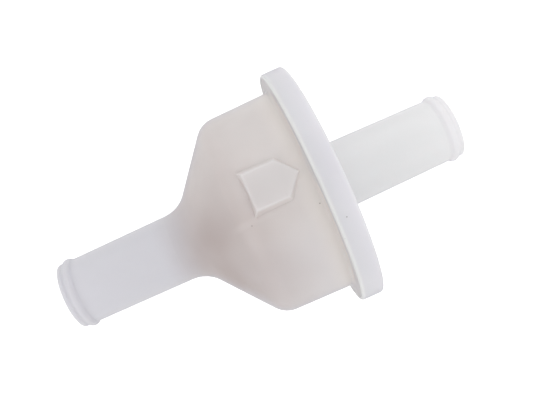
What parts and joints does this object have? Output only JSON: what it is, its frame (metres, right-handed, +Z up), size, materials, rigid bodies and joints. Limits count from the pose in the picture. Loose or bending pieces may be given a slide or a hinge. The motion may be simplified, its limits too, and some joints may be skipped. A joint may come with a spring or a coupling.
{
  "type": "in-line check valve",
  "caption": "In-line hose check valve in milky plastic: conical inlet body, flanged outlet cap, sprung poppet inside, flow arrow on top.",
  "frame": {"origin": "middle of the valve's box, on the flow axis half way between the two spigot tips", "axes": "+X along the flow towards the outlet spigot; +Z up through the flat flow arrow on the chamber"},
  "size_m": [0.1168, 0.069, 0.069],
  "materials": {
    "body_plastic": "milky, see-through in thin places",
    "cap_plastic": "milky, see-through in thin places",
    "guide_plastic": "natural moulded",
    "bush_plastic": "slippery natural",
    "poppet_plastic": "moulded",
    "seal_rubber": "matt moulded",
    "ring_rubber": "matt moulded",
    "stainless": "bright",
    "spring_wire": "drawn wire"
  },
  "bodies": {
    "housing": {"inlet_body": "body_plastic", "outlet_cap": "cap_plastic", "flange_o_ring": "ring_rubber", "guide_cage": "guide_plastic", "guide_bush": "bush_plastic", "return_spring": "spring_wire"},
    "poppet_assembly": {"poppet": "poppet_plastic", "valve_seal": "seal_rubber", "seal_retainer": "poppet_plastic", "retainer_screw": "stainless", "stem_clip": "stainless", "spring_washer": "stainless"}
  },
  "joints": [
    {"name": "poppet_lift", "type": "slide", "parent": "housing", "child": "poppet_assembly", "axis": [1, 0, 0], "range_m": [0, 0.006], "stiffness_N_per_m": 720, "springref_m": -0.0043, "deforming": ["return_spring"]}
  ]
}
